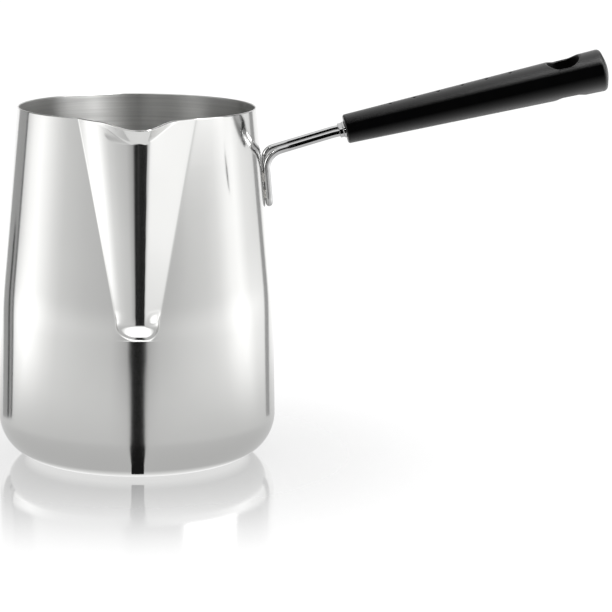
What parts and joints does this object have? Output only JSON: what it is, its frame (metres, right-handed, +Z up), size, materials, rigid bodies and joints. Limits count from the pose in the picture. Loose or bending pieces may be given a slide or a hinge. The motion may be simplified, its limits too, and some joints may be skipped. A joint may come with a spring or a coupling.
{
  "type": "candle melting pot",
  "caption": "Tall steel pot for melting and pouring candle wax, with a pressed pouring spout and a wire handle that carries a moulded grip.",
  "frame": {"origin": "centre of the pot's base, on the table", "axes": "+Z up along the pot's axis, the pouring spout points to -Y and the handle to +X"},
  "size_m": [0.234, 0.1146, 0.1575],
  "materials": {
    "polished_steel": "polished outside, brushed round the inside",
    "bright_wire": "bright polished",
    "weld_metal": "satin",
    "black_plastic": "fine matte grain"
  },
  "bodies": {
    "root": {"pot_body": "polished_steel", "wire_handle": "bright_wire", "weld_beads": "weld_metal", "ferrule": "bright_wire", "grip": "black_plastic"}
  },
  "joints": []
}
